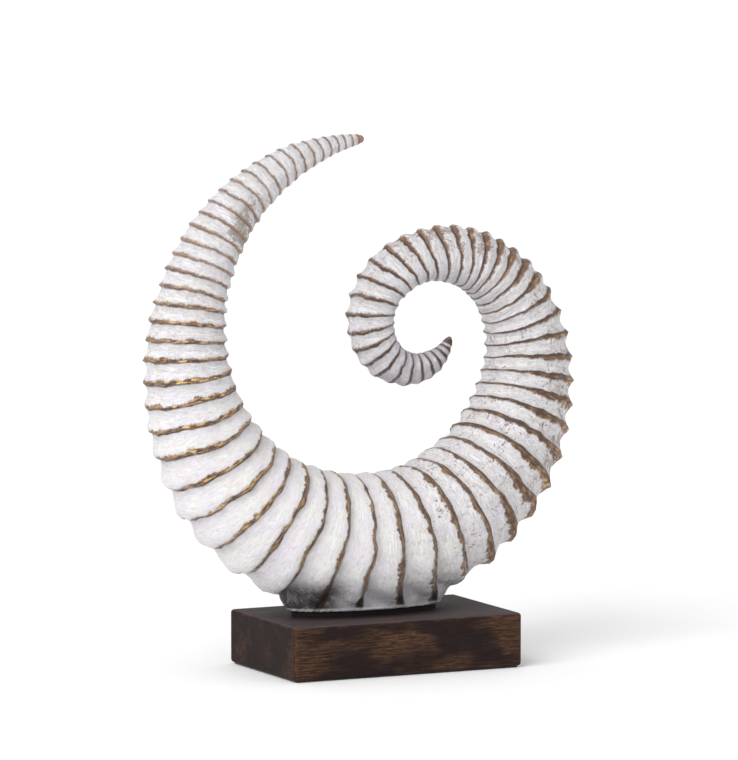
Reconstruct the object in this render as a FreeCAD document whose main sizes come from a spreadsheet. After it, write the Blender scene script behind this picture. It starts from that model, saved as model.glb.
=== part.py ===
"""Decorative ram's-horn sculpture on a wooden plinth, built from a few driving sizes.

Frame: +Z up, +X along the plinth towards the curled arm, +Y towards the back.  The origin is the
centre of the felt underside, on the surface that the sculpture stands on.  Lengths are in mm.

The horn's centre line starts at its lowest point, above the foot.  Distance along it counts from
there: positive to the curled arm, negative to the plain arm that sweeps up to the top tip.
"""
import FreeCAD, Part
import bisect
import math
import os

import Sketcher

Vector = FreeCAD.Vector

# Driving dimensions.
SIZES = {
    "felt_height": 1.0,
    "felt_inset": 2.5,
    "plinth_length": 178.0,
    "plinth_depth": 108.0,
    "plinth_height": 38.0,
    "plinth_edge": 2.5,
    "spacer_length": 112.0,
    "spacer_depth": 40.0,
    "spacer_height": 4.0,
    "foot_centre": -9.3,
    "boss_length": 132.0,
    "boss_depth": 48.0,
    "boss_height": 58.0,
    "boss_sink": 15.0,
    "horn_low": 88.2,
    "section_egg": 0.10,
    "flute_ratio": 0.10,
    "flute_even": 0.60,
    "curl_setback": 23.0,
    "curl_start": 20.0,
    "curl_end": 250.0,
    "casting_wall": 7.0,
    "cavity_low": -265.0,
    "cavity_high": 195.0,
    "cavity_rounding": 40.0,
    "core_length": 84.0,
    "core_depth": 40.0,
    "core_top": 76.0,
    "rod_radius": 2.5,
    "rod_wall": 3.5,
    "rod_tip_cover": 17.5,
    "screw_spacing": 52.0,
    "screw_radius": 3.0,
    "screw_length": 50.0,
    "screw_hole": 3.3,
    "head_radius": 5.25,
    "head_height": 4.0,
    "head_dome": 2.2,
    "hex_radius": 2.3,
    "hex_depth": 2.4,
    "seat_depth": 14.0,
    "seat_radius": 9.0,
    "washer_radius": 8.0,
    "washer_height": 1.6,
    "insert_radius": 5.0,
    "insert_bore": 3.1,
    "insert_low": 54.0,
    "insert_height": 14.0,
    "insert_end_gap": 4.0,
    "insert_flange": 6.5,
    "flange_height": 1.5,
}

# Along the horn: distance, bend (1/m), radius over the growth rings, spacing of the rings, how far
# the section sits outside the centre line, and its width as a share of its depth.
STATIONS = [
    (-440, 5.5, 3.4, 5.4, 0.0, 0.92),
    (-380, 7.0, 12.8, 9.2, 0.0, 0.92),
    (-320, 7.2, 19.9, 9.6, 0.0, 0.92),
    (-250, 6.8, 26.8, 10.7, 0.2, 0.92),
    (-190, 6.4, 33.8, 14.6, 0.3, 0.92),
    (-120, 7.7, 42.9, 20.0, 0.2, 0.92),
    (-60, 7.0, 47.9, 21.8, 0.0, 0.92),
    (0, 7.5, 50.2, 24.0, 0.0, 0.92),
    (60, 6.8, 48.2, 19.6, 1.4, 0.92),
    (120, 6.7, 43.4, 18.4, 2.2, 0.92),
    (180, 8.9, 36.0, 13.8, 2.0, 0.92),
    (230, 13.2, 29.6, 12.3, 1.4, 0.88),
    (280, 14.2, 23.7, 9.2, 0.5, 0.82),
    (330, 15.4, 19.7, 10.8, 0.0, 0.78),
    (370, 21.4, 19.4, 10.4, -0.5, 0.78),
    (410, 27.2, 18.0, 9.4, -0.5, 0.78),
    (445, 31.1, 13.9, 8.7, 0.4, 0.80),
    (470, 31.9, 9.7, 7.2, 0.9, 0.84),
    (490, 32.2, 3.4, 4.0, 0.8, 0.90),
]
COLUMNS = ("distance", "bend", "ring_radius", "ring_spacing", "outset", "section_ratio")
BEND, RADIUS, SPACING, OUTSET, RATIO = range(1, 6)

STEP = 0.5                          # arc step of the centre line
SECTION_POINTS = 16                 # points round one section
FLUTE_STOPS = ((0.0, 0.0), (0.16, 0.62), (0.42, 1.0), (0.78, 0.68))     # (share of spacing, depth)
RING_PHASE = -12.0                  # distance of the ring nearest the foot's middle
CAP = 3.0                           # how far each tip runs past the last station
BLUNT_TIP = ((1.0, 0.45), (1 / 3, 0.95))    # plain tip's end: (share of CAP, share of radius)
FINE_TIP = 0.3                      # curled tip's end, as a share of its radius
CAVITY_SECTIONS = 25
ROD_SECTIONS = {"plain": 12, "curled": 20}


# ---------------------------------------------------------------- document and spreadsheet

doc = FreeCAD.newDocument("horn_sculpture")
sheet = doc.addObject("Spreadsheet::Sheet", "Sizes")


def fill_sheet():
    """One row for each driving dimension, then one block of rows for the stations."""
    row = 1
    for name, value in SIZES.items():
        sheet.set(f"A{row}", name)
        sheet.set(f"B{row}", str(value))
        sheet.setAlias(f"B{row}", name)
        row += 1
    for number, station in enumerate(STATIONS):
        for letter, column, value in zip("BCDEFG", COLUMNS, station):
            sheet.set(f"{letter}{row}", str(value))
            sheet.setAlias(f"{letter}{row}", f"{column}_at_{number:02d}")
        sheet.set(f"A{row}", f"station {number}")
        row += 1
    doc.recompute()


def size(name):
    return float(sheet.get(name))


def bind(feature, **expressions):
    """Tie properties of a feature to the sheet; a word such as @name stands for that cell."""
    for prop, text in expressions.items():
        feature.setExpression(prop.replace("__", "."), text.replace("@", "Sizes."))


fill_sheet()
stations = [
    [size(f"{column}_at_{number:02d}") for column in COLUMNS] for number in range(len(STATIONS))
]


# ---------------------------------------------------------------- the horn's laws

def law(column, distance):
    """A station column, in a straight line from one station to the next."""
    keys = [row[0] for row in stations]
    upper = min(max(bisect.bisect_right(keys, distance), 1), len(keys) - 1)
    low, high = stations[upper - 1], stations[upper]
    share = (distance - low[0]) / (high[0] - low[0])
    share = min(max(share, 0.0), 1.0)
    return low[column] + share * (high[column] - low[column])


def walk(direction, length):
    """Centre-line points (distance, x, z, heading) from the low point, one way along the horn."""
    x, z, heading = size("foot_centre"), size("horn_low"), 0.0
    points = [(0.0, x, z, heading)]
    for count in range(int(length / STEP)):
        turn = direction * law(BEND, direction * (count + 0.5) * STEP) / 1000 * STEP
        x += direction * STEP * math.cos(heading + turn / 2)
        z += direction * STEP * math.sin(heading + turn / 2)
        heading += turn
        points.append((direction * (count + 1) * STEP, x, z, heading))
    return points


def centre_line():
    towards_tip = walk(-1, -stations[0][0] + CAP)
    towards_curl = walk(1, stations[-1][0] + CAP)
    return towards_tip[:0:-1] + towards_curl


LINE = centre_line()
LINE_START = LINE[0][0]


def setback(distance):
    """How far the curled arm has eased towards the back, and the slope of that easing."""
    span = size("curl_end") - size("curl_start")
    share = min(max((distance - size("curl_start")) / span, 0.0), 1.0)
    offset = size("curl_setback") * share * share * (3 - 2 * share)
    slope = size("curl_setback") * 6 * share * (1 - share) / span
    return offset, slope


def frame_at(distance):
    """Centre, outward normal and sideways direction of the section at a distance."""
    place = (distance - LINE_START) / STEP
    index = min(max(int(place), 0), len(LINE) - 2)
    share = place - index
    x, z, heading = [
        LINE[index][part] + share * (LINE[index + 1][part] - LINE[index][part])
        for part in (1, 2, 3)
    ]
    offset, slope = setback(distance)
    along = Vector(math.cos(heading), slope, math.sin(heading)).normalize()
    outward = Vector(math.sin(heading), 0, -math.cos(heading))
    centre = Vector(x, offset, z) + outward * law(OUTSET, distance)
    return centre, outward, along.cross(outward)


def section(distance, radius, flute=0.0):
    """Closed egg-shaped wire across the horn; flute is how far it sinks between two rings."""
    centre, outward, sideways = frame_at(distance)
    ratio, egg, even = law(RATIO, distance), size("section_egg"), size("flute_even")
    points = []
    for count in range(SECTION_POINTS):
        angle = 2 * math.pi * count / SECTION_POINTS
        sunk = radius - flute * (even + (1 - even) * math.cos(angle))
        across = ratio * sunk * math.sin(angle) * (1 - egg * math.cos(angle))
        points.append(centre + outward * (sunk * math.cos(angle)) + sideways * across)
    curve = Part.BSplineCurve()
    curve.interpolate(Points=points, PeriodicFlag=True)
    return Part.Wire([curve.toShape()])


def ring_distances():
    """Distances of the growth rings, spaced by the station law, tip to tip."""
    rings = [RING_PHASE]
    while rings[-1] + law(SPACING, rings[-1]) < stations[-1][0]:
        spacing = law(SPACING, rings[-1])
        rings.append(rings[-1] + law(SPACING, rings[-1] + spacing / 2))
    while rings[0] - law(SPACING, rings[0]) > stations[0][0]:
        spacing = law(SPACING, rings[0])
        rings.insert(0, rings[0] - law(SPACING, rings[0] - spacing / 2))
    return rings


def horn_blank():
    """The horn's outside: a crest at each ring, and three sections down and up each flute."""
    rings = ring_distances()
    first, last = stations[0], stations[-1]
    wires = [section(first[0] - CAP * run, first[RADIUS] * share) for run, share in BLUNT_TIP]
    for near, far in zip(rings, rings[1:]):
        for share, depth in FLUTE_STOPS:
            here = near + share * (far - near)
            radius = law(RADIUS, here)
            wires.append(section(here, radius, depth * size("flute_ratio") * radius))
    wires.append(section(rings[-1], law(RADIUS, rings[-1])))
    wires.append(section(last[0] + CAP, last[RADIUS] * FINE_TIP))
    return ruled_solid(wires)


def ruled_solid(wires):
    """A solid of straight-ruled bands from each wire to the next, closed at both ends."""
    faces = [Part.Face(wires[0]), Part.Face(wires[-1])]
    for near, far in zip(wires, wires[1:]):
        faces += Part.makeRuledSurface(near.Edges[0], far.Edges[0]).Faces
    shell = Part.makeCompound(faces)
    shell.sewShape()
    return Part.makeSolid(shell.Shells[0])


def smooth_run(low, high, count, radius_at):
    """A smooth solid along the centre line, with no rings."""
    places = [low + (high - low) * number / (count - 1) for number in range(count)]
    return Part.makeLoft([section(place, radius_at(place)) for place in places], True, False)


def cavity_radius(distance):
    """Inside of the casting: the flutes and the wall are taken off the outside."""
    end = min(distance - size("cavity_low"), size("cavity_high") - distance)
    rounding = 0.5 + 0.5 * min(end / size("cavity_rounding"), 1.0)
    return (law(RADIUS, distance) * (1 - size("flute_ratio")) - size("casting_wall")) * rounding


def rod(low, high, count):
    """A round steel rod bent to the centre line."""
    circles = []
    for number in range(count):
        centre, outward, sideways = frame_at(low + (high - low) * number / (count - 1))
        circle = Part.Circle(centre, outward.cross(sideways), size("rod_radius"))
        circle.XAxis = outward
        circles.append(Part.Wire([circle.toShape()]))
    return Part.makeLoft(circles, True, False)


# ---------------------------------------------------------------- small builders

def add(kind, label, **expressions):
    """A document object of a kind, with its properties tied to the sheet."""
    feature = doc.addObject(kind, label)
    feature.Label = label
    bind(feature, **expressions)
    return feature


def shape_feature(label, shape):
    """An object whose shape comes from the laws above."""
    feature = add("Part::Feature", label)
    feature.Shape = shape
    feature.Placement = FreeCAD.Placement()
    return feature


def fuse(label, parts):
    feature = add("Part::MultiFuse", label)
    feature.Shapes = parts
    return feature


def combine(kind, label, base, tool):
    """A Part::Cut or Part::Common of two objects."""
    feature = add(kind, label)
    feature.Base = base
    feature.Tool = tool
    return feature


def cylinder(label, radius, low, height, x_text="0", y_text="0"):
    return add(
        "Part::Cylinder", label, Radius=radius, Height=height,
        Placement__Base__x=x_text, Placement__Base__y=y_text, Placement__Base__z=low,
    )


def box(label, length, depth, height, x_text, low):
    """A box centred on Y = 0 and on its x place, standing at a height."""
    return add(
        "Part::Box", label, Length=length, Width=depth, Height=height,
        Placement__Base__x=f"{x_text} - ({length}) / 2", Placement__Base__y=f"-({depth}) / 2",
        Placement__Base__z=low,
    )


def sketch_on(owner, name, role):
    """A sketch on one of the body's own origin planes."""
    sketch = owner.newObject("Sketcher::SketchObject", name)
    plane = [part for part in owner.Origin.OriginFeatures if part.Role == role][0]
    sketch.AttachmentSupport = (plane, [""])
    sketch.MapMode = "FlatFace"
    return sketch


def fix_length(sketch, name, constraint, text):
    """Add a named dimension to a sketch and tie it to the sheet."""
    number = sketch.addConstraint(constraint)
    sketch.renameConstraint(number, name)
    bind(sketch, **{f"Constraints__{name}": text})


def rectangle(sketch, length, depth):
    """A rectangle centred on the sketch's origin."""
    corners = [Vector(-9, -5), Vector(9, -5), Vector(9, 5), Vector(-9, 5)]
    for start, end in zip(corners, corners[1:] + corners[:1]):
        sketch.addGeometry(Part.LineSegment(start, end), False)
    for side in range(4):
        sketch.addConstraint(Sketcher.Constraint("Coincident", side, 2, (side + 1) % 4, 1))
        direction = "Vertical" if side % 2 else "Horizontal"
        sketch.addConstraint(Sketcher.Constraint(direction, side))
    sketch.addConstraint(Sketcher.Constraint("Symmetric", 0, 1, 2, 1, -1, 1))
    fix_length(sketch, "length", Sketcher.Constraint("DistanceX", 0, 1, 0, 2, 18.0), length)
    fix_length(sketch, "depth", Sketcher.Constraint("DistanceY", 1, 1, 1, 2, 10.0), depth)


def slab(label, length, depth, height, low):
    """A body with one padded rectangle."""
    owner = add("PartDesign::Body", label, Placement__Base__z=low)
    outline = sketch_on(owner, f"{label}_outline", "XY_Plane")
    rectangle(outline, length, depth)
    pad = owner.newObject("PartDesign::Pad", f"{label}_pad")
    pad.Profile = outline
    bind(pad, Length=height)
    doc.recompute()
    return owner, pad


SIDES = {"left": "-", "right": "+"}
TOP = "(@felt_height + @plinth_height)"
FOOT = f"({TOP} + @spacer_height)"
SEAT = "(@felt_height + @seat_depth)"


def screw_x(side):
    return f"@foot_centre {SIDES[side]} @screw_spacing / 2"


def screw_bores(label, radius, low, height):
    """The same bore at both screws."""
    return [
        cylinder(f"{label}_{side}", radius, low, height, screw_x(side)) for side in SIDES
    ]


# ---------------------------------------------------------------- base pieces

def make_felt():
    """Felt sheet that covers the plinth's underside and its screw heads."""
    inside = "- 2 * @felt_inset"
    owner, _ = slab(
        "felt_underside", f"@plinth_length {inside}", f"@plinth_depth {inside}", "@felt_height",
        "0",
    )
    return owner


def make_plinth():
    """Wooden block with softened edges and two counterbored screw holes from below."""
    owner, pad = slab(
        "plinth_block", "@plinth_length", "@plinth_depth", "@plinth_height", "@felt_height",
    )
    rounded = owner.newObject("PartDesign::Fillet", "plinth_edges")
    rounded.Base = (pad, [f"Edge{number + 1}" for number in range(len(pad.Shape.Edges))])
    bind(rounded, Radius="@plinth_edge")
    bores = screw_bores("plinth_bore", "@screw_hole", "0", f"{TOP} + 1")
    seats = screw_bores("plinth_seat", "@seat_radius", "0", SEAT)
    return combine("Part::Cut", "plinth", owner, fuse("plinth_holes", bores + seats))


def make_spacer():
    """Oval dark spacer that holds the horn just clear of the plinth."""
    owner = add("PartDesign::Body", "spacer_block", Placement__Base__z=TOP)
    bind(owner, Placement__Base__x="@foot_centre")
    sketch = sketch_on(owner, "spacer_outline", "XY_Plane")
    oval = Part.Ellipse(Vector(0, 0, 0), size("spacer_length") / 2, size("spacer_depth") / 2)
    sketch.addGeometry(oval, False)
    pad = owner.newObject("PartDesign::Pad", "spacer_pad")
    pad.Profile = sketch
    bind(pad, Length="@spacer_height")
    bores = screw_bores("spacer_bore", "@screw_hole", "0", f"{FOOT} + 1")
    return combine("Part::Cut", "foot_spacer", owner, fuse("spacer_holes", bores))


# ---------------------------------------------------------------- fasteners

def make_screw(side):
    """Button-head screw with a hexagon socket, driven up from the counterbore."""
    under = f"{SEAT} - @washer_height"
    name = f"mounting_screw_{side}"
    head = cylinder(f"{name}_head", "@head_radius", f"{under} - @head_height", "@head_height",
                    screw_x(side))
    shank = cylinder(f"{name}_shank", "@screw_radius", under, "@screw_length", screw_x(side))
    rounded = add("Part::Fillet", f"{name}_dome")
    rounded.Base = head
    doc.recompute()
    lowest = min(
        range(len(head.Shape.Edges)), key=lambda edge: head.Shape.Edges[edge].CenterOfMass.z
    )
    rounded.Edges = [(lowest + 1, size("head_dome"), size("head_dome"))]
    socket = add(
        "Part::Prism", f"{name}_socket", Circumradius="@hex_radius", Height="@hex_depth + 1",
        Placement__Base__x=screw_x(side), Placement__Base__z=f"{under} - @head_height - 1",
    )
    solid = fuse(f"{name}_solid", [rounded, shank])
    return combine("Part::Cut", name, solid, socket)


def make_washer(side):
    name = f"washer_{side}"
    low = f"{SEAT} - @washer_height"
    disc = cylinder(f"{name}_disc", "@washer_radius", low, "@washer_height", screw_x(side))
    hole = cylinder(f"{name}_hole", "@screw_hole", f"{low} - 1", "@washer_height + 2",
                    screw_x(side))
    return combine("Part::Cut", name, disc, hole)


def insert_outside(name, side):
    """Flanged barrel of a threaded insert; the flange is at its lower end."""
    barrel = cylinder(f"{name}_barrel", "@insert_radius", "@insert_low", "@insert_height",
                      screw_x(side))
    flange = cylinder(f"{name}_flange", "@insert_flange", "@insert_low", "@flange_height",
                      screw_x(side))
    return fuse(f"{name}_outside", [barrel, flange])


def make_insert(side):
    name = f"threaded_insert_{side}"
    bore = cylinder(f"{name}_bore", "@insert_bore", "@insert_low - 1", "@insert_height + 2",
                    screw_x(side))
    return combine("Part::Cut", name, insert_outside(name, side), bore)


# ---------------------------------------------------------------- horn and what is inside it

def make_rods():
    """Steel armature rods cast into the two slender arms."""
    wall, cover = size("rod_wall"), size("rod_tip_cover")
    plain = rod(stations[0][0] + cover, size("cavity_low") - wall, ROD_SECTIONS["plain"])
    curled = rod(size("cavity_high") + wall, stations[-1][0] - cover, ROD_SECTIONS["curled"])
    return [
        shape_feature("armature_rod_plain_arm", plain),
        shape_feature("armature_rod_curled_arm", curled),
    ]


def make_core(cavity):
    """Block bonded into the hollow belly; it fits the cavity's floor and takes the inserts."""
    blank = box("core_blank", "@core_length", "@core_depth", f"@core_top - {TOP}", "@foot_centre",
                TOP)
    fitted = combine("Part::Common", "core_fitted", cavity, blank)
    blind_end = "@insert_low + @insert_height + @insert_end_gap"
    bores = screw_bores("core_bore", "@screw_hole", TOP, f"{blind_end} - {TOP}")
    pockets = [insert_outside(f"core_pocket_{side}", side) for side in SIDES]
    flats = screw_bores("core_flat", "@insert_flange", TOP, "@insert_low - " + TOP)
    holes = fuse("core_holes", bores + pockets + flats)
    return combine("Part::Cut", "mounting_core", fitted, holes)


def make_horn(cavity, rods):
    """The cast horn: ringed outside, hollow belly, flat foot, screw holes and rod channels."""
    boss = add("Part::Ellipsoid", "foot_boss", Radius1="@boss_height / 2",
               Radius2="@boss_length / 2", Radius3="@boss_depth / 2")
    bind(boss, Placement__Base__x="@foot_centre",
         Placement__Base__z=f"{FOOT} + @boss_height / 2 - @boss_sink")
    below = box("foot_trim", "@plinth_length * 2", "@plinth_depth * 2", FOOT, "0", "0")
    holes = screw_bores("foot_bore", "@screw_hole", "0", "@insert_low")
    doc.recompute()
    outside = horn_blank().fuse(boss.Shape).cut(below.Shape)
    hollow = outside.cut(cavity.Shape)
    drilled = hollow.cut([hole.Shape for hole in holes])
    return shape_feature("horn_casting", drilled.cut([steel.Shape for steel in rods]))


def make_all():
    nodes = [make_felt(), make_plinth(), make_spacer()]
    for side in SIDES:
        nodes += [make_screw(side), make_washer(side), make_insert(side)]
    cavity = shape_feature(
        "belly_cavity",
        smooth_run(size("cavity_low"), size("cavity_high"), CAVITY_SECTIONS, cavity_radius),
    )
    rods = make_rods()
    nodes += rods
    nodes.append(make_core(cavity))
    nodes.append(make_horn(cavity, rods))
    return nodes


def check(nodes):
    """Stop if an object failed to build, or a piece is empty or broken."""
    for feature in doc.Objects:
        if {"Invalid", "Error"} & set(feature.State):
            raise RuntimeError(f"{feature.Label} failed: {feature.State}")
    for node in nodes:
        if node.Shape.isNull() or not node.Shape.isValid() or not node.Shape.Solids:
            raise RuntimeError(f"{node.Label} is not a valid solid")


def main():
    nodes = make_all()
    doc.recompute()
    check(nodes)
    os.makedirs("parts", exist_ok=True)
    for node in nodes:
        bounds = node.Shape.BoundBox
        print(f"{node.Label:26s} {len(node.Shape.Solids)} solid {node.Shape.Volume / 1000:9.2f} cm3 "
              f"x {bounds.XMin:7.1f} {bounds.XMax:6.1f}  y {bounds.YMin:6.1f} {bounds.YMax:5.1f}  "
              f"z {bounds.ZMin:6.1f} {bounds.ZMax:6.1f}")
        node.Shape.exportStep(f"parts/{node.Label}.step")


main()
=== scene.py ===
"""The looks of the ram's-horn sculpture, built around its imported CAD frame.

Units are metres, +Z is up, +X runs along the plinth towards the curled arm and +Y to the back.
Places along the horn count in millimetres from the low point of its centre line, positive towards
the curled arm, and the horn's laws are written in millimetres too; MM turns them into metres.
"""

import math

import bpy
import numpy as np
from mathutils import Matrix, Vector


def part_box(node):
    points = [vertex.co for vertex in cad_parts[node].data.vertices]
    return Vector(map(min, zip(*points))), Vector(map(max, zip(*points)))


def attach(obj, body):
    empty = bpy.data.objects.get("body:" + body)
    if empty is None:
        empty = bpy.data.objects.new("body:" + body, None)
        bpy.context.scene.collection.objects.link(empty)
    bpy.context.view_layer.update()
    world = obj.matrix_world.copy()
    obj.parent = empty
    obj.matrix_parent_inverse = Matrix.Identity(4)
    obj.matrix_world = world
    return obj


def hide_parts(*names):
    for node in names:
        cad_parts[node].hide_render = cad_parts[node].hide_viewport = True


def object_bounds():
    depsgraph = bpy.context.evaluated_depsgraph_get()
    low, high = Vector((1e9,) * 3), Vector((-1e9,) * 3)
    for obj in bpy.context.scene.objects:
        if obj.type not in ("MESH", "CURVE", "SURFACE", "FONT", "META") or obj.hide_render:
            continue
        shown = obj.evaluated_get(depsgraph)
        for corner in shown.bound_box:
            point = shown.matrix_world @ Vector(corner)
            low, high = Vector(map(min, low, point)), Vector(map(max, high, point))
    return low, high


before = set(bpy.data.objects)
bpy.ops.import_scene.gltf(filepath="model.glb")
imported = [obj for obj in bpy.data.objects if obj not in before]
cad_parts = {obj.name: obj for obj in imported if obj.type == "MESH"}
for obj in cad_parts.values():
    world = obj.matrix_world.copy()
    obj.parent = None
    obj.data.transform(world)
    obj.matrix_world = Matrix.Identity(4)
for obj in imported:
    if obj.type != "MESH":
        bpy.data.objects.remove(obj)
cad_low, cad_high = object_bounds()

MM = 0.001
SEED = 7

CAMERA_PLACE = (-2.4493, -5.0579, 0.8370)
CAMERA_AZIMUTH = -25.79         # degrees from the front, towards the plain arm
CAMERA_ELEVATION = 6.43         # degrees above the horizon
SENSOR = 36.0                   # mm
LENS = 378.947                  # mm, long enough to leave little perspective
WORLD_STRENGTH = 0.78
KEY_PLACE = (-2.3, -1.35, 2.0)
KEY_POWER = 1.9
KEY_SPREAD = 45.0               # degrees, for soft shadows

# ---------------------------------------------------------------- the horn's laws

# Along the horn: distance, bend (1/m), radius over the growth rings, spacing of the rings, how far
# the section sits outside the centre line, and its width as a share of its depth.
STATIONS = np.array([
    (-440, 5.5, 3.4, 5.4, 0.0, 0.92),
    (-380, 7.0, 12.8, 9.2, 0.0, 0.92),
    (-320, 7.2, 19.9, 9.6, 0.0, 0.92),
    (-250, 6.8, 26.8, 10.7, 0.2, 0.92),
    (-190, 6.4, 33.8, 14.6, 0.3, 0.92),
    (-120, 7.7, 42.9, 20.0, 0.2, 0.92),
    (-60, 7.0, 47.9, 21.8, 0.0, 0.92),
    (0, 7.5, 50.2, 24.0, 0.0, 0.92),
    (60, 6.8, 48.2, 19.6, 1.4, 0.92),
    (120, 6.7, 43.4, 18.4, 2.2, 0.92),
    (180, 8.9, 36.0, 13.8, 2.0, 0.92),
    (230, 13.2, 29.6, 12.3, 1.4, 0.88),
    (280, 14.2, 23.7, 9.2, 0.5, 0.82),
    (330, 15.4, 19.7, 10.8, 0.0, 0.78),
    (370, 21.4, 19.4, 10.4, -0.5, 0.78),
    (410, 27.2, 18.0, 9.4, -0.5, 0.78),
    (445, 31.1, 13.9, 8.7, 0.4, 0.80),
    (470, 31.9, 9.7, 7.2, 0.9, 0.84),
    (490, 32.2, 3.4, 4.0, 0.8, 0.90),
], float)
BEND, RADIUS, SPACING, OUTSET, RATIO = range(1, 6)
STEP = 0.5
CAP = 3.0                       # how far each tip runs past the last station
LOW_X, LOW_Z = -9.3, 88.2       # the centre line's low point
CURL_START, CURL_END, CURL_SETBACK = 20.0, 250.0, 23.0
SECTION_EGG = 0.10
RING_PHASE = -12.0              # distance of the ring nearest the foot's middle

# The foot: an ellipsoid under the horn, cut flat where it stands on the spacer.
FOOT_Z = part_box("foot_spacer")[1].z / MM
BOSS_HALF = (66.0, 24.0, 29.0)
BOSS_SINK = 15.0
JOIN = 3.0                      # how softly the horn and its foot run together
LIP = 1.0                       # how far the foot's lower edge spreads
SLACK = 0.02                    # kept between the horn's dents and its box in the frame


def law(column, distance):
    """One of the station laws at each distance, straight between stations."""
    return np.interp(distance, STATIONS[:, 0], STATIONS[:, column])


def walk(direction, length):
    """Centre-line rows (distance, x, z, heading) from the low point, one way along the horn."""
    x, z, heading = LOW_X, LOW_Z, 0.0
    rows = [(0.0, x, z, heading)]
    for count in range(int(length / STEP)):
        turn = direction * law(BEND, direction * (count + 0.5) * STEP) * MM * STEP
        x += direction * STEP * math.cos(heading + turn / 2)
        z += direction * STEP * math.sin(heading + turn / 2)
        heading += turn
        rows.append((direction * (count + 1) * STEP, x, z, heading))
    return rows


LINE = np.array(
    walk(-1, -STATIONS[0, 0] + CAP)[:0:-1] + walk(1, STATIONS[-1, 0] + CAP)
)


def frames_at(distance):
    """Centres, outward normals and sideways directions at an array of distances."""
    x, z, heading = [np.interp(distance, LINE[:, 0], LINE[:, part]) for part in (1, 2, 3)]
    share = np.clip((distance - CURL_START) / (CURL_END - CURL_START), 0, 1)
    offset = CURL_SETBACK * share ** 2 * (3 - 2 * share)
    slope = CURL_SETBACK * 6 * share * (1 - share) / (CURL_END - CURL_START)
    along = np.stack([np.cos(heading), slope, np.sin(heading)], -1)
    along /= np.linalg.norm(along, axis=-1, keepdims=True)
    outward = np.stack([np.sin(heading), np.zeros_like(heading), -np.cos(heading)], -1)
    centre = np.stack([x, offset, z], -1) + outward * law(OUTSET, distance)[..., None]
    return centre, outward, np.cross(along, outward)


def ring_distances():
    """Distances of the growth rings, spaced by the station law, tip to tip."""
    rings = [RING_PHASE]
    while rings[-1] + law(SPACING, rings[-1]) < STATIONS[-1, 0]:
        near = law(SPACING, rings[-1])
        rings.append(rings[-1] + law(SPACING, rings[-1] + near / 2))
    while rings[0] - law(SPACING, rings[0]) > STATIONS[0, 0]:
        near = law(SPACING, rings[0])
        rings.insert(0, rings[0] - law(SPACING, rings[0] - near / 2))
    return np.array(rings, float)


# ---------------------------------------------------------------- noise on arrays

def hashed(cell, seed):
    """A repeatable value from 0 to 1 for each integer cell of an array (..., axes)."""
    total = np.full(cell.shape[:-1], seed * 374761393 + 668265263, np.int64)
    for axis, factor in zip(range(cell.shape[-1]), (1597334677, 3812015801, 2798796415)):
        total = (total ^ (cell[..., axis].astype(np.int64) * factor)) & 0xFFFFFFFF
        total = (total * 2246822519 + 3266489917) & 0xFFFFFFFF
        total ^= total >> 15
    return (total & 0xFFFF) / 65535.0


def noise(points, seed):
    """Smooth value noise from -1 to 1 at each point of an array (..., axes)."""
    cell = np.floor(points).astype(np.int64)
    share = points - cell
    share = share * share * (3 - 2 * share)
    axes = points.shape[-1]
    total = np.zeros(points.shape[:-1])
    for corner in range(2 ** axes):
        offset = np.array([(corner >> axis) & 1 for axis in range(axes)])
        weight = np.prod(np.where(offset, share, 1 - share), axis=-1)
        total += weight * hashed(cell + offset, seed)
    return total * 2 - 1


def smoothstep(low, high, value):
    """A smooth step from 0 at low to 1 at high."""
    share = np.clip((value - low) / (high - low), 0, 1)
    return share * share * (3 - 2 * share)


# ---------------------------------------------------------------- horn mesh

RINGS = ring_distances()
COLUMNS = 180
# Rows across one flute, as shares of the way from a ring to the next, closer near the rings.
ROW_SHARES = np.array([0, .02, .05, .10, .18, .28, .39, .50, .61, .72, .81, .88, .935, .97])
NUB_ROWS = np.array([0.0, 0.06, 0.2, 0.45, 0.75])   # rows on each tip, as shares of the tip
NUB_CAP = 1.5                   # how far the plain arm's rounded end runs past its last station
NUB_RADIUS = 3.0
NUB_SPACING = 5.5

# Depth of the flutes below the rings, as a share of the radius: distance, outer and inner side.
FLUTES = np.array([
    (-440, .120, .070),
    (-330, .115, .065),
    (-250, .140, .090),
    (-190, .125, .075),
    (-120, .110, .065),
    (-75, .105, .050),
    (-50, .140, .045),
    (0, .140, .045),
    (40, .160, .045),
    (70, .130, .050),
    (110, .125, .070),
    (200, .130, .070),
    (235, .125, .070),
    (280, .165, .050),
    (350, .150, .050),
    (400, .160, .060),
    (490, .200, .080),
])

# Bare gold beside the rings: distance, width before a ring and after it in mm, and what the
# widths are multiplied by on the outer and on the inner side.
GOLD = np.array([
    (-440, 0.6, 0.4, 1.0, 1.0),
    (-270, 1.0, 0.6, 1.0, 1.0),
    (-215, 2.4, 0.4, 0.8, 1.0),
    (-150, 3.6, 0.3, 0.6, 1.1),
    (-60, 3.3, 0.3, 0.5, 1.5),
    (0, 3.6, 0.3, 1.6, 1.5),
    (60, 3.4, 0.6, 1.4, 1.5),
    (120, 3.2, 1.0, 1.3, 0.7),
    (170, 2.6, 1.8, 1.5, 0.35),
    (230, 1.1, 1.3, 1.6, 0.35),
    (300, 0.8, 1.0, 1.6, 0.5),
    (380, 0.8, 1.1, 0.9, 0.9),
    (490, 0.9, 0.9, 1.0, 1.0),
])


def table(rows, column, distance):
    """One column of FLUTES or GOLD at each distance, straight between rows."""
    return np.interp(distance, rows[:, 0], rows[:, column])


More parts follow.
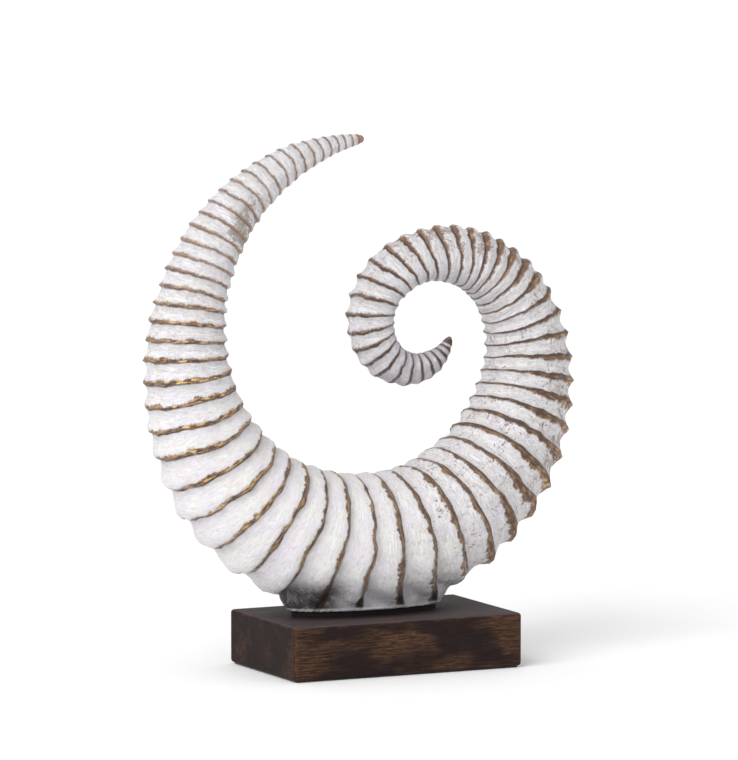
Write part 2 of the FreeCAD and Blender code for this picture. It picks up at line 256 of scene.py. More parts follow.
def horn_grid():
    """Ring count, distance and angle at each point of the mesh: rows along, columns round."""
    last = len(RINGS) - 1
    low_run = RINGS[0] - (STATIONS[0, 0] - NUB_CAP)
    high_run = STATIONS[-1, 0] + CAP - RINGS[-1]
    between = np.append((np.arange(last)[:, None] + ROW_SHARES).ravel(), last)
    count = np.concatenate([
        (NUB_ROWS - 1) * low_run / NUB_SPACING,
        between,
        last + (1 - NUB_ROWS[::-1]) * high_run / NUB_SPACING,
    ])
    distance = np.concatenate([
        RINGS[0] + (NUB_ROWS - 1) * low_run,
        np.interp(between, np.arange(last + 1), RINGS),
        RINGS[-1] + (1 - NUB_ROWS[::-1]) * high_run,
    ])
    angle = np.linspace(0, 2 * math.pi, COLUMNS, endpoint=False)
    return np.meshgrid(count, angle, indexing="ij") + [np.repeat(distance[:, None], COLUMNS, 1)]


def handmade(distance):
    """1 along the horn and 0 at its two tips, where nothing wanders."""
    return smoothstep(-436, -400, distance) * (1 - smoothstep(455, 485, distance))


def shifted(count, angle, distance):
    """Rings wander, bow on the plain arm, lean in the curl and swing round above the foot."""
    around = np.stack([np.cos(angle), np.sin(angle)], -1)
    slow = np.concatenate([around * 1.6, count[..., None] * 0.9], -1)
    quick = np.concatenate([around * 5.0, np.round(count)[..., None] * 3.7], -1)
    wander = (0.08 * noise(slow, SEED) + 0.06 * noise(quick, SEED + 1)) * law(SPACING, distance)
    lean = np.interp(distance, [270, 310, 370, 395, 440], [0, 8, 9, 3, 0])
    lean = lean * ((1 - np.cos(angle)) / 2) ** 1.5
    swing = np.interp(distance, [-110, -50, 30, 80], [0, 6, 4, 0])
    swing = swing * smoothstep(0.2, 1.0, np.cos(angle))
    bow = 1.5 * np.sin(angle) ** 2 * (1 - smoothstep(-260, -190, distance))
    return distance + (wander - bow) * handmade(distance) - lean + swing


def flute_depth(count, angle, distance):
    """Depth below the rings in mm: scallops, stepped beads, knobs, or the belly's wide lobes."""
    share = count - np.floor(count)
    scallop = 1 - np.abs(2 * share - 1) ** 1.7
    bead = 1.15 * smoothstep(0.0, 0.11, share) * (1 - share) ** 1.7
    knob = 1 - np.abs(np.sin(math.pi * share ** 2.6)) ** 0.9
    swell = np.abs(np.sin(math.pi * share ** 2.1))
    lobe = 1 - np.where(share < 0.72, swell, np.sqrt(swell))
    side = 0.5 + 0.5 * np.cos(angle)
    belly = smoothstep(-215, -150, distance) * (1 - smoothstep(90, 130, distance + 55 * side))
    beaded = 0.6 * (1 - smoothstep(-240, -190, distance))
    knobbed = (1 - side) * (1 - smoothstep(-230, -170, distance))
    knobbed += 0.8 * smoothstep(235, 262, distance) * (1 - smoothstep(345, 375, distance))
    knobbed += 0.5 * smoothstep(395, 420, distance)
    outer, inner = table(FLUTES, 1, distance), table(FLUTES, 2, distance)
    depth = (inner + (outer - inner) * side) * law(RADIUS, distance)
    arm = beaded * bead + (1 - beaded) * scallop
    arm = knobbed * knob + (1 - knobbed) * arm
    return depth * (belly * lobe + (1 - belly) * arm)


def surface_radius(count, angle, distance):
    """How far the surface lies from the section's centre, in mm."""
    radius = law(RADIUS, distance)
    around = np.stack([np.cos(angle), np.sin(angle)], -1)
    spot = np.concatenate([distance[..., None], around * radius[..., None]], -1)
    ring = np.concatenate([around * 2.2, np.round(count)[..., None] * 1.9], -1)
    rough = (
        0.012 * radius * noise(ring, SEED + 2)
        + 0.42 * noise(spot * 0.12, SEED + 3)
        + 0.36 * noise(spot * (0.33, 0.20, 0.20), SEED + 5)
        + 0.12 * noise(spot * (0.9, 0.30, 0.30), SEED + 4)
    )
    surface = radius - flute_depth(count, angle, distance) + rough * handmade(distance)
    low, high = STATIONS[0], STATIONS[-1]
    from_low = np.clip((distance - low[0] + NUB_CAP) / (RINGS[0] - low[0] + NUB_CAP), 0, 1)
    low_nub = NUB_RADIUS * np.sin(0.8 * math.pi * from_low) ** 0.6 + 0.05
    from_high = np.clip((high[0] + CAP - distance) / (high[0] + CAP - RINGS[-1]), 0, 1)
    high_nub = 0.85 * law(RADIUS, RINGS[-1]) * np.sin(math.pi / 2 * from_high) ** 0.7 + 0.05
    surface = np.where(count < 0, low_nub, surface)
    return np.where(count > len(RINGS) - 1, high_nub, surface)


def boss_reach(centre, ray):
    """How far each ray runs from its centre to the outside of the foot's ellipsoid."""
    half = np.array(BOSS_HALF)
    start = (centre - (LOW_X, 0.0, FOOT_Z + BOSS_HALF[2] - BOSS_SINK)) / half
    step = ray / half
    square = (step ** 2).sum(-1)
    cross = (start * step).sum(-1)
    root = cross ** 2 - square * ((start ** 2).sum(-1) - 1)
    return np.where(root > 0, (np.sqrt(np.maximum(root, 0)) - cross) / square, 0.0)


def horn_points(count, angle, distance):
    """Points of the horn in mm, run into the foot and cut flat where they meet the spacer."""
    centre, outward, sideways = frames_at(distance)
    across = law(RATIO, distance) * np.sin(angle) * (1 - SECTION_EGG * np.cos(angle))
    ray = outward * np.cos(angle)[..., None] + sideways * across[..., None]
    length = np.linalg.norm(ray, axis=-1)
    ray /= length[..., None]
    reach = surface_radius(count, angle, distance) * length
    near = np.abs(distance) < BOSS_HALF[0] + 30
    boss = np.where(near, boss_reach(centre, ray), 0.0)
    share = np.clip(0.5 + 0.5 * (boss - reach) / JOIN, 0, 1)
    reach = reach * (1 - share) + boss * share + JOIN * share * (1 - share)
    downward = np.minimum(ray[..., 2], -0.05)
    to_cut = np.where(ray[..., 2] < -0.05, (FOOT_Z - centre[..., 2]) / downward, np.inf)
    points = centre + ray * np.minimum(reach, to_cut)[..., None]
    lip = LIP * share * (1 - smoothstep(0.8, 2.8, points[..., 2] - FOOT_Z))
    from_middle = points[..., :2] - (LOW_X, 0.0)
    spread = np.linalg.norm(from_middle, axis=-1, keepdims=True)
    points[..., :2] += lip[..., None] * from_middle / np.maximum(spread, 1.0)
    return points


def tube_faces(rows):
    """Quads between the rows of a tube, and a fan at each end round a pole."""
    start = (np.arange(rows - 1) * COLUMNS)[:, None]
    here = np.arange(COLUMNS)
    after = (here + 1) % COLUMNS
    quads = np.stack([
        start + here, start + after, start + COLUMNS + after, start + COLUMNS + here,
    ], -1).reshape(-1, 4)
    top = (rows - 1) * COLUMNS
    low = [(rows * COLUMNS, int(b), int(a)) for a, b in zip(here, after)]
    high = [(rows * COLUMNS + 1, int(top + a), int(top + b)) for a, b in zip(here, after)]
    return quads.tolist() + low + high


def with_poles(values):
    """A field's values in mesh order, with the mean of each end row for its pole."""
    flat = values.reshape(values.shape[0] * values.shape[1], -1)
    ends = np.stack([flat[:COLUMNS].mean(0), flat[-COLUMNS:].mean(0)])
    return np.concatenate([flat, ends]).astype(np.float32)


def build_horn():
    """The ringed horn as one closed mesh, with the fields that its material reads."""
    count, angle, distance = horn_grid()
    distance = shifted(count, angle, distance)
    low, high = [np.array(corner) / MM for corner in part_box("horn_casting")]
    points = np.clip(horn_points(count, angle, distance), low + SLACK, high - SLACK)
    mesh = bpy.data.meshes.new("horn")
    mesh.from_pydata((with_poles(points) * MM).tolist(), [], tube_faces(len(count)))
    mesh.update()
    side = np.cos(angle)
    outer, inner = np.clip(side, 0, 1), np.clip(-side, 0, 1)
    sides = 1 + (table(GOLD, 3, distance) - 1) * outer + (table(GOLD, 4, distance) - 1) * inner
    radius = law(RADIUS, distance)
    fields = {
        "crest_sin": np.sin(2 * math.pi * count),
        "crest_cos": np.cos(2 * math.pi * count),
        "spacing": law(SPACING, distance),
        "run": distance,
        "outer": side,
        "gold_before": table(GOLD, 1, distance) * sides,
        "gold_after": table(GOLD, 2, distance) * sides,
        "tip": 1 - smoothstep(0.0, 0.6, count) + smoothstep(-0.8, 0.0, count - len(RINGS) + 1),
    }
    for name, values in fields.items():
        attribute = mesh.attributes.new(name, "FLOAT", "POINT")
        attribute.data.foreach_set("value", with_poles(values).ravel())
    straight = np.stack([distance, radius * np.cos(angle), radius * np.sin(angle)], -1)
    attribute = mesh.attributes.new("straight", "FLOAT_VECTOR", "POINT")
    attribute.data.foreach_set("vector", with_poles(straight).ravel())
    mesh.polygons.foreach_set("use_smooth", np.ones(len(mesh.polygons), bool))
    horn = bpy.data.objects.new("horn", mesh)
    bpy.context.scene.collection.objects.link(horn)
    return horn


# ---------------------------------------------------------------- node helpers

class Nodes:
    """A short way to write a material's node tree."""

    def __init__(self, name):
        self.material = bpy.data.materials.new(name)
        self.material.use_nodes = True
        self.tree = self.material.node_tree
        self.tree.nodes.clear()
        self.output = self.tree.nodes.new("ShaderNodeOutputMaterial")

    def put(self, socket, value):
        """Link a socket to another, or set it to a plain value; None leaves it alone."""
        if isinstance(value, bpy.types.NodeSocket):
            self.tree.links.new(value, socket)
        elif value is not None:
            socket.default_value = value

    def math(self, operation, a, b=None):
        node = self.tree.nodes.new("ShaderNodeMath")
        node.operation = operation
        for socket, value in zip(node.inputs, (a, b)):
            self.put(socket, value)
        return node.outputs[0]

    def add(self, a, b):
        return self.math("ADD", a, b)

    def sub(self, a, b):
        return self.math("SUBTRACT", a, b)

    def mul(self, a, b):
        return self.math("MULTIPLY", a, b)

    def ramp(self, value, low, high, to_low=0.0, to_high=1.0):
        """A smooth step from to_low at low to to_high at high."""
        node = self.tree.nodes.new("ShaderNodeMapRange")
        node.interpolation_type = "SMOOTHSTEP"
        for socket, part in zip(node.inputs, (value, low, high, to_low, to_high)):
            self.put(socket, part)
        return node.outputs[0]

    def attribute(self, name, vector=False):
        node = self.tree.nodes.new("ShaderNodeAttribute")
        node.attribute_name = name
        return node.outputs["Vector" if vector else "Fac"]

    def object_coords(self):
        return self.tree.nodes.new("ShaderNodeTexCoord").outputs["Object"]

    def scaled(self, vector, scale, offset=(0, 0, 0)):
        node = self.tree.nodes.new("ShaderNodeMapping")
        self.put(node.inputs["Vector"], vector)
        node.inputs["Scale"].default_value = scale
        node.inputs["Location"].default_value = offset
        return node.outputs[0]

    def noise(self, vector, scale, detail=3.0, roughness=0.55, distortion=0.0):
        node = self.tree.nodes.new("ShaderNodeTexNoise")
        self.put(node.inputs["Vector"], vector)
        node.inputs["Scale"].default_value = scale
        node.inputs["Detail"].default_value = detail
        node.inputs["Roughness"].default_value = roughness
        node.inputs["Distortion"].default_value = distortion
        return node.outputs["Fac"]

    def mix(self, share, a, b):
        """Colour a where share is 0 and colour b where it is 1."""
        node = self.tree.nodes.new("ShaderNodeMix")
        node.data_type = "RGBA"
        self.put(node.inputs[0], share)
        self.put(node.inputs[6], a if isinstance(a, bpy.types.NodeSocket) else (*a, 1.0))
        self.put(node.inputs[7], b if isinstance(b, bpy.types.NodeSocket) else (*b, 1.0))
        return node.outputs[2]

    def bump(self, height, distance, strength=1.0):
        node = self.tree.nodes.new("ShaderNodeBump")
        self.put(node.inputs["Height"], height)
        node.inputs["Distance"].default_value = distance
        node.inputs["Strength"].default_value = strength
        return node.outputs["Normal"]

    def surface(self, colour, roughness, metallic=0.0, normal=None, **plain):
        shader = self.tree.nodes.new("ShaderNodeBsdfPrincipled")
        self.put(shader.inputs["Base Color"],
                 colour if isinstance(colour, bpy.types.NodeSocket) else (*colour, 1.0))
        self.put(shader.inputs["Roughness"], roughness)
        self.put(shader.inputs["Metallic"], metallic)
        self.put(shader.inputs["Normal"], normal)
        for name, value in plain.items():
            shader.inputs[name.replace("_", " ")].default_value = value
        self.tree.links.new(shader.outputs[0], self.output.inputs["Surface"])
        return self.material


# ---------------------------------------------------------------- materials

def gold_mask(n, straight, from_ring):
    """Bare gold before and after each ring, with a ragged and patchy edge."""
    patches = n.noise(n.scaled(straight, (0.030, 0.045, 0.045)), 1.0, 2.0)
    blots = n.noise(n.scaled(straight, (0.14, 0.17, 0.17), (3, 8, 5)), 1.0, 3.0, 0.6)
    ragged = n.noise(n.scaled(straight, (0.35, 1.4, 1.4)), 1.0, 4.0, 0.75)
    width = n.mul(n.ramp(patches, 0.30, 0.70, 0.7, 1.4), n.ramp(blots, 0.32, 0.68, 0.8, 1.3))
    place = n.add(from_ring, n.mul(n.sub(ragged, 0.5), 4.4))
    before = n.mul(n.attribute("gold_before"), width)
    after = n.mul(n.attribute("gold_after"), width)
    inside = n.mul(
        n.ramp(n.add(place, before), -0.75, 0.75), n.ramp(n.sub(after, place), -0.35, 0.35),
    )
    return n.math("MAXIMUM", inside, n.ramp(n.attribute("tip"), 0.35, 0.75))


def whitewash(n, straight, run, from_ring):
    """Chalky white with cool, green and pink patches, brush marks, and painted shade just after
    each ring.
    """
    tint = n.noise(n.scaled(straight, (0.045, 0.055, 0.055), (5, 3, 1)), 1.0, 4.0, 0.6)
    hue = n.noise(n.scaled(straight, (0.13, 0.12, 0.12), (2, 9, 4)), 1.0, 3.0, 0.6)
    brush = n.noise(n.scaled(straight, (0.9, 0.17, 0.17)), 1.0, 4.0, 0.65, 0.8)
    grain = n.noise(n.scaled(straight, (1.7, 1.2, 1.2), (3, 3, 3)), 1.0, 3.0, 0.7)
    mottle = n.noise(n.scaled(straight, (0.34, 0.26, 0.26), (4, 4, 2)), 1.0, 4.0, 0.65)
    white = n.mix(n.ramp(tint, 0.36, 0.64), (0.76, 0.73, 0.78), (0.795, 0.785, 0.755))
    white = n.mix(n.ramp(hue, 0.54, 0.70), white, (0.80, 0.725, 0.71))
    calm = n.mul(n.ramp(run, -230.0, -170.0), n.ramp(run, -40.0, 90.0, 1.0, 0.0))
    busy = n.sub(0.85, n.mul(calm, 0.5))
    white = n.mix(n.mul(n.ramp(brush, 0.30, 0.60, 1.0, 0.0), busy), white, (0.52, 0.495, 0.525))
    white = n.mix(n.mul(n.ramp(mottle, 0.26, 0.50, 1.0, 0.0), busy), white, (0.50, 0.475, 0.495))
    white = n.mix(n.mul(n.ramp(grain, 0.30, 0.46, 0.40, 0.0), busy), white, (0.42, 0.375, 0.375))
    stroke = n.noise(n.scaled(straight, (0.62, 0.075, 0.075), (4, 6, 2)), 1.0, 4.0, 0.7, 1.0)
    white = n.mix(n.mul(n.ramp(stroke, 0.52, 0.64), busy), white, (0.87, 0.875, 0.875))
    # painted shade on the flute just after each ring, where the ring's step would shade it
    step_shade = n.mul(n.ramp(from_ring, 0.4, 1.4), n.ramp(from_ring, 2.0, 6.5, 1.0, 0.0))
    step_shade = n.mul(step_shade, n.ramp(tint, 0.35, 0.65, 0.0, 0.5))
    return n.mix(step_shade, white, (0.45, 0.425, 0.455)), brush, mottle


def bare_gold(n, straight, run, outer):
    """Dark bronze to brown gold, with painted highlights, and bright painted glints strongest on
    the plain arm's sides and the rising arm's outer side.
    """
    tone = n.noise(n.scaled(straight, (0.40, 0.11, 0.11), (9, 2, 4)), 1.0, 4.0, 0.65)
    glint_noise = n.noise(n.scaled(straight, (0.60, 0.14, 0.14), (6, 1, 7)), 1.0, 3.0, 0.6)
    bronze = n.mix(n.ramp(tone, 0.42, 0.62), (0.080, 0.046, 0.034), (0.30, 0.175, 0.100))
    # painted mid highlights where the highlight noise is high
    bronze = n.mix(n.ramp(glint_noise, 0.42, 0.60, 0.0, 0.6), bronze, (0.46, 0.28, 0.14))
    shaded = n.mul(n.ramp(run, 90.0, 140.0), n.ramp(outer, 0.05, 0.50, 0.6, 0.0))
    bronze = n.mix(shaded, bronze, (0.085, 0.052, 0.040))
    bronze = n.mix(n.ramp(run, -40.0, 40.0, 0.0, 0.45), bronze, (0.115, 0.070, 0.052))
    bronze = n.mix(n.ramp(run, -290.0, -230.0, 0.6, 0.0), bronze, (0.44, 0.30, 0.235))
    bronze = n.mix(n.ramp(run, 235.0, 275.0, 0.0, 0.5), bronze, (0.20, 0.122, 0.094))
    # painted glints: strongest on the sides of the plain arm and on the rising arm's outer side,
    # faint everywhere else
    facing = n.ramp(n.math("ABSOLUTE", n.sub(outer, 0.15)), 0.45, 0.85, 1.0, 0.0)
    left = n.mul(n.mul(n.ramp(run, -290.0, -230.0), n.ramp(run, -110.0, -40.0, 1.0, 0.0)), facing)
    right = n.mul(n.ramp(run, 90.0, 140.0), n.ramp(run, 225.0, 265.0, 0.8, 0.25))
    right = n.mul(right, n.ramp(outer, 0.35, 0.75))
    bright = n.math("MAXIMUM", n.math("MAXIMUM", left, right), 0.22)
    painted_glint = n.mul(n.ramp(glint_noise, 0.48, 0.66), bright)
    return n.mix(painted_glint, bronze, (0.90, 0.58, 0.25)), tone


def horn_material():
    """Whitewash brushed over bronze-gold rings, grey above the foot and towards the curl's end,
    with painted shade on the inside of the curl.
    """
    n = Nodes("whitewashed_resin")
    straight = n.attribute("straight", vector=True)
    turn = n.math("ARCTAN2", n.attribute("crest_sin"), n.attribute("crest_cos"))
    from_ring = n.mul(n.mul(turn, 1 / (2 * math.pi)), n.attribute("spacing"))   # mm
    run = n.attribute("run")
    outer = n.attribute("outer")
    split = n.tree.nodes.new("ShaderNodeSeparateXYZ")
    n.put(split.inputs[0], n.object_coords())
    across, high = split.outputs[0], split.outputs[2]

    white, brush, mottle = whitewash(n, straight, run, from_ring)
    gold = gold_mask(n, straight, from_ring)
    bronze, tone = bare_gold(n, straight, run, outer)

    # patches worn back to bronze on the rising arm
    where = n.noise(n.scaled(straight, (0.06, 0.07, 0.07), (3, 1, 9)), 1.0, 2.0)
    thin = n.noise(n.scaled(straight, (0.45, 0.5, 0.5), (7, 7, 1)), 1.0, 5.0, 0.8)
    rising = n.mul(n.ramp(run, 95.0, 130.0), n.ramp(run, 190.0, 240.0, 1.0, 0.35))
    rising = n.mul(rising, n.ramp(outer, 0.15, 0.55))
    curl = n.mul(n.ramp(run, 250.0, 275.0), n.ramp(run, 340.0, 370.0, 1.0, 0.0))
    curl = n.mul(curl, n.ramp(outer, -0.1, 0.4))
    upper = n.mul(n.ramp(run, -352.0, -338.0), n.ramp(run, -310.0, -292.0, 1.0, 0.0))
    upper = n.mul(upper, n.mul(n.ramp(outer, 0.0, 0.4, 1.0, 0.0), 0.8))
    rising = n.math("MAXIMUM", rising, n.math("MAXIMUM", curl, upper))
    spread = n.add(n.ramp(where, 0.38, 0.60, -0.08, 0.05), n.mul(upper, 0.09))
    rubbed = n.ramp(n.add(thin, spread), 0.53, 0.57)
    rust = n.mix(n.ramp(run, -300.0, 0.0), (0.17, 0.12, 0.07), (0.25, 0.135, 0.10))
    white = n.mix(n.mul(n.mul(rubbed, rising), 0.8), white, rust)
    colour = n.mix(gold, white, bronze)

    # a dark line where each ring drops into the next flute
    line_at = n.add(0.30, n.mul(n.attribute("gold_after"), 0.5))
    line = n.ramp(n.math("ABSOLUTE", n.sub(from_ring, line_at)), 0.25, 0.95, 1.0, 0.0)
    line = n.mul(line, n.ramp(tone, 0.34, 0.60, 0.95, 0.50))
    line = n.mul(line, n.ramp(run, -290.0, -220.0, 0.55, 1.0))
    colour = n.mix(line, colour, (0.075, 0.042, 0.034))

    # chips and scratches, thick on the right of the belly and on the rising arm
    worn = n.mul(n.ramp(run, -30.0, 70.0), n.ramp(run, 200.0, 340.0, 1.0, 0.45))
    specks = n.noise(n.scaled(straight, (0.15, 0.34, 0.34), (1, 7, 3)), 1.0, 5.0, 0.75, 1.6)
    limit = n.mul(worn, n.ramp(where, 0.40, 0.62, 0.035, 0.130))
    speck = n.ramp(n.sub(specks, limit), 0.320, 0.285)
    chip = n.mix(n.ramp(where, 0.4, 0.6), (0.11, 0.10, 0.125), (0.20, 0.115, 0.08))
    colour = n.mix(n.mul(speck, n.add(0.25, n.mul(worn, 0.7))), colour, chip)

    # grey above the foot and darker towards it, dark at its left end, painted shade on the inside
    # of the curl, and grey towards the curl's end
    clouds = n.noise(n.scaled(straight, (0.09, 0.10, 0.10), (2, 2, 8)), 1.0, 5.0, 0.65)
    cracks = n.noise(n.scaled(straight, (0.24, 0.24, 0.24), (8, 2, 2)), 1.0, 5.0, 0.75, 0.6)
    low = n.mul(n.ramp(high, 0.044, 0.078, 0.95, 0.0), n.ramp(clouds, 0.32, 0.60, 0.25, 1.0))
    left_end = n.mul(n.ramp(across, -0.032, -0.048), n.ramp(high, 0.056, 0.072, 1.0, 0.0))
    left_end = n.mul(left_end, n.ramp(across, -0.082, -0.074))
    # painted shade on the inside of the curl
    inner = n.mul(n.ramp(outer, -0.95, -0.35, 0.30, 0.0), n.ramp(run, 240.0, 290.0))
    # one grey for both: cloudy grey above the foot, darker towards it, and the painted shade
    # inside the curl
    colour = n.mix(n.mul(n.math("MAXIMUM", low, inner), 0.8), colour,
                   n.mix(clouds, (0.16, 0.16, 0.185), (0.42, 0.42, 0.46)))
    end = n.mul(n.ramp(run, 405.0, 440.0), n.ramp(clouds, 0.35, 0.60, 0.25, 0.75))
    colour = n.mix(n.mul(end, n.sub(1.0, gold)), colour, (0.40, 0.38, 0.43))
    colour = n.mix(n.mul(left_end, 0.9), colour,
                   n.mix(n.ramp(cracks, 0.49, 0.60), (0.012, 0.008, 0.007), (0.16, 0.15, 0.15)))

    # rings turn dark brown by the foot and under the curl's end; a pale lip edges the foot
    to_ring = n.math("ABSOLUTE", n.add(from_ring, n.ramp(run, 0.0, 300.0, 1.4, 0.6)))
    at_foot = n.mul(n.ramp(to_ring, 1.2, 3.0, 1.0, 0.0), n.ramp(high, 0.050, 0.064, 1.0, 0.0))
    at_end = n.mul(n.ramp(to_ring, 0.3, 1.2, 0.65, 0.0), n.ramp(run, 405.0, 430.0))
    at_end = n.mul(at_end, n.ramp(outer, -0.8, 0.3, 0.35, 1.0))
    colour = n.mix(n.math("MAXIMUM", at_foot, at_end), colour, (0.060, 0.034, 0.027))
    lip = n.mul(n.ramp(high, 0.0440, 0.0462, 1.0, 0.0), n.ramp(cracks, 0.34, 0.46))
    colour = n.mix(n.mul(lip, 0.85), colour, (0.95, 0.93, 0.97))

    height = n.add(n.mul(brush, 0.8), n.mul(mottle, 0.9))
    height = n.add(height, n.mul(gold, -0.25))
    normal = n.bump(height, 0.0016, 0.9)
    rough = n.sub(n.ramp(mottle, 0.3, 0.7, 0.60, 0.48), n.mul(gold, 0.14))
    metal = n.mul(gold, n.ramp(tone, 0.38, 0.62, 0.15, 0.7))
    return n.surface(colour, rough, metal, normal, Specular_IOR_Level=0.4)


def stained_wood(name, dark, streak, amount, sheen, half=(1.0, 1.0), top=1.0):
    """Dark stained wood, dry-brushed along X and rubbed on its edges, with a painted sheen on its
    top that gives way to painted shadow round the foot.
    """
    n = Nodes(name)
    spot = n.object_coords()
    grain = n.noise(n.scaled(spot, (60, 650, 850)), 1.0, 5.0, 0.75, 0.4)
    fine = n.noise(n.scaled(spot, (220, 1500, 1700)), 1.0, 4.0, 0.7)
    broad = n.noise(n.scaled(spot, (17, 34, 40), (0.3, 0.1, 0.6)), 1.0, 2.5, 0.6)
    brushed = n.mul(n.ramp(grain, 0.42, 0.62), n.ramp(broad, 0.45, 0.64, 0.06, 1.0))
    brushed = n.mul(brushed, n.ramp(fine, 0.34, 0.62, 0.25, 1.0))
    split = n.tree.nodes.new("ShaderNodeSeparateXYZ")
    n.put(split.inputs[0], spot)
    x, y, z = [n.math("ABSOLUTE", part) for part in split.outputs]
    near_x = n.ramp(x, half[0] - 0.0040, half[0] - 0.0004)
    near_y = n.ramp(y, half[1] - 0.0035, half[1] - 0.0004)
    near_z = n.ramp(z, top - 0.0035, top - 0.0004)
    on_end = n.ramp(x, half[0] - 0.0012, half[0] - 0.0004)
    on_top = n.ramp(z, top - 0.0012, top - 0.0004)
    edge = n.math("MAXIMUM", n.mul(near_y, near_z), n.mul(near_x, near_y))
    edge = n.math("MAXIMUM", edge, n.mul(near_x, near_z))
    edge = n.mul(edge, n.ramp(n.noise(n.scaled(spot, (60, 150, 150)), 1.0, 4.0, 0.7), 0.46, 0.64))
    # painted shadow round the foot: the top's painted sheen fades out near the foot
    round_x = n.mul(n.add(split.outputs[0], -LOW_X * MM), 1 / (BOSS_HALF[0] * MM))
    round_y = n.mul(split.outputs[1], 1 / (BOSS_HALF[1] * 1.3 * MM))
    far = n.math("SQRT", n.add(n.mul(round_x, round_x), n.mul(round_y, round_y)))
    shade = n.ramp(far, 0.75, 1.3, 1.0, 0.0)
    quiet = n.mul(n.sub(1.0, n.mul(on_top, 0.85)), n.sub(1.0, n.mul(on_end, 0.6)))
    share = n.math("MAXIMUM", n.mul(brushed, quiet), n.mul(edge, 0.34))
    colour = n.mix(n.mul(share, amount), dark, streak)
    haze = n.ramp(n.noise(n.scaled(spot, (30, 30, 30)), 1.0, 4.0, 0.6), 0.4, 0.7)
    glow = n.mul(n.ramp(broad, 0.42, 0.66), quiet)
    colour = n.mix(n.mul(glow, 0.35), colour, [part * 0.25 for part in streak])
    colour = n.mix(n.mul(haze, 0.25), colour, [part * 1.8 for part in dark])
    # painted sheen on the top face, held back round the foot as painted shadow
    colour = n.mix(n.mul(n.mul(on_top, 0.6), n.sub(1.0, n.mul(shade, 0.85))), colour, sheen)
    normal = n.bump(n.add(grain, n.mul(fine, 0.5)), 0.0007, 0.6)
    return n.surface(colour, n.ramp(grain, 0.3, 0.7, 0.75, 0.60), 0.0, normal,
                     Specular_IOR_Level=0.16)


def plain_metal(name, colour, rough):
    """Bare metal with faint turning marks."""
    n = Nodes(name)
    spot = n.object_coords()
    marks = n.noise(n.scaled(spot, (300, 300, 1500)), 1.0, 3.0)
    shade = n.mix(marks, [c * 0.8 for c in colour], colour)
    return n.surface(shade, n.ramp(marks, 0.3, 0.7, rough - 0.08, rough + 0.1), 1.0,
                     n.bump(marks, 0.00005, 0.4))


def felt_material():
    """Black felt with a fine fuzz."""
    n = Nodes("felt")
    spot = n.object_coords()
    fuzz = n.noise(spot, 1800.0, 4.0, 0.8)
    colour = n.mix(n.ramp(fuzz, 0.35, 0.7), (0.012, 0.011, 0.011), (0.045, 0.042, 0.04))
    return n.surface(colour, 0.95, 0.0, n.bump(fuzz, 0.0005, 0.8), Sheen_Weight=0.4)


# ---------------------------------------------------------------- pieces

def dress(node, material):
    """Give a carried-over CAD node its finish."""
    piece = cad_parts[node]
    piece.data.materials.clear()
    piece.data.materials.append(material)


horn = build_horn()
horn.data.materials.append(horn_material())
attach(horn, "root")
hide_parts("horn_casting")

plinth_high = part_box("plinth")[1]
# its last colour is the painted sheen on the top face
dark_wood = stained_wood(
    "dark_stained_wood", (0.0120, 0.0055, 0.0052), (0.25, 0.120, 0.058), 0.70,
    (0.098, 0.076, 0.078),
    (plinth_high.x, plinth_high.y), plinth_high.z,
)
# black for the spacer: its own dark stain, kept as black as the shadow in the gap under the foot,
# so partly painted shade
black_wood_gap_shade = stained_wood(
    "black_stained_wood", (0.008, 0.006, 0.006), (0.03, 0.02, 0.015), 0.5, (0.02, 0.018, 0.018),
)
core_wood = stained_wood(
    "core_wood", (0.50, 0.36, 0.20), (0.66, 0.50, 0.30), 0.8, (0.55, 0.40, 0.24),
)
steel = plain_metal("plated_steel", (0.62, 0.62, 0.64), 0.30)
rod_steel = plain_metal("steel_rod", (0.45, 0.45, 0.46), 0.42)
brass = plain_metal("brass_insert", (0.72, 0.56, 0.28), 0.28)

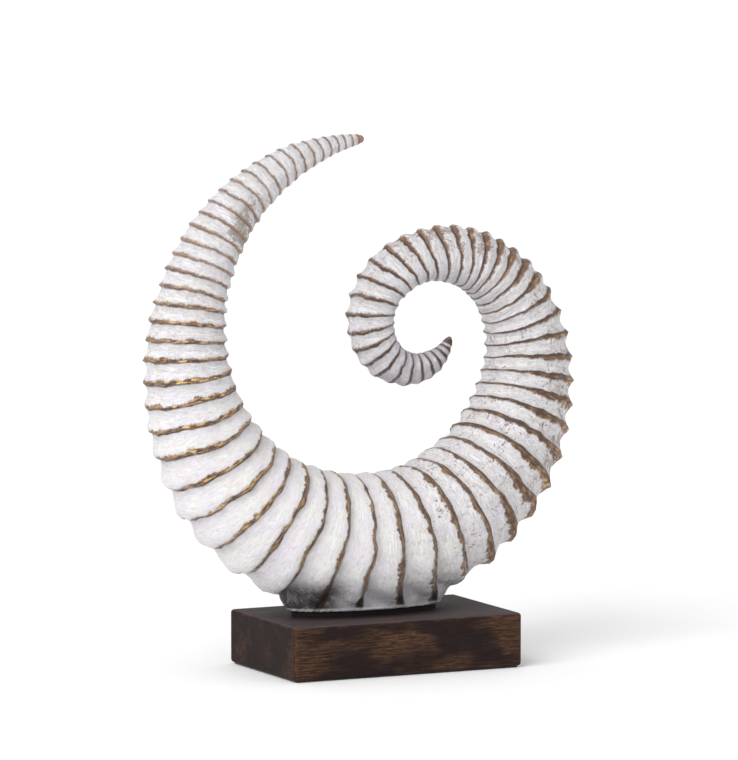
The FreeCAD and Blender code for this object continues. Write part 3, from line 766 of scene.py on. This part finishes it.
dress("plinth", dark_wood)
dress("foot_spacer", black_wood_gap_shade)
dress("felt_underside", felt_material())
dress("mounting_core", core_wood)
for side in ("left", "right"):
    dress(f"mounting_screw_{side}", steel)
    dress(f"washer_{side}", steel)
    dress(f"threaded_insert_{side}", brass)
for arm in ("plain", "curled"):
    dress(f"armature_rod_{arm}_arm", rod_steel)


# ---------------------------------------------------------------- stage, light and camera

def make_floor():
    """A pale flat floor under the object."""
    n = Nodes("studio_floor")
    speck = n.noise(n.object_coords(), 30.0, 2.0)
    material = n.surface(n.mix(speck, (0.94, 0.94, 0.94), (0.96, 0.96, 0.96)), 0.9)
    bpy.ops.mesh.primitive_plane_add(size=30.0, location=(0, 0, cad_low.z - 0.0002))
    floor = bpy.context.object
    floor.name = "studio_floor"
    floor.data.materials.append(material)


def add_sun(name, place, power, spread):
    """A soft sun that shines from a place towards the object."""
    light = bpy.data.lights.new(name, "SUN")
    light.energy = power
    light.angle = math.radians(spread)
    lamp = bpy.data.objects.new(name, light)
    lamp.rotation_euler = (-Vector(place)).to_track_quat("-Z", "Y").to_euler()
    bpy.context.scene.collection.objects.link(lamp)


def make_world():
    """Even white light from all round."""
    world = bpy.data.worlds.new("studio")
    world.use_nodes = True
    back = world.node_tree.nodes["Background"]
    back.inputs[0].default_value = (1.0, 1.0, 1.0, 1.0)
    back.inputs[1].default_value = WORLD_STRENGTH
    bpy.context.scene.world = world
    bpy.context.scene.view_settings.view_transform = "Standard"


def make_camera():
    """A long lens, turned to the left of the front and a little above the object."""
    azimuth, elevation = math.radians(CAMERA_AZIMUTH), math.radians(CAMERA_ELEVATION)
    backward = Vector((
        math.sin(azimuth) * math.cos(elevation),
        -math.cos(azimuth) * math.cos(elevation),
        math.sin(elevation),
    ))
    right = Vector((math.cos(azimuth), math.sin(azimuth), 0.0))
    upward = backward.cross(right)
    camera = bpy.data.cameras.new("camera")
    camera.sensor_width = SENSOR
    camera.lens = LENS
    camera.clip_end = 100.0
    holder = bpy.data.objects.new("camera", camera)
    turn = Matrix((right, upward, backward)).transposed()
    holder.matrix_world = Matrix.Translation(CAMERA_PLACE) @ turn.to_4x4()
    bpy.context.scene.collection.objects.link(holder)
    bpy.context.scene.camera = holder


make_floor()
make_world()
add_sun("key", KEY_PLACE, KEY_POWER, KEY_SPREAD)
make_camera()
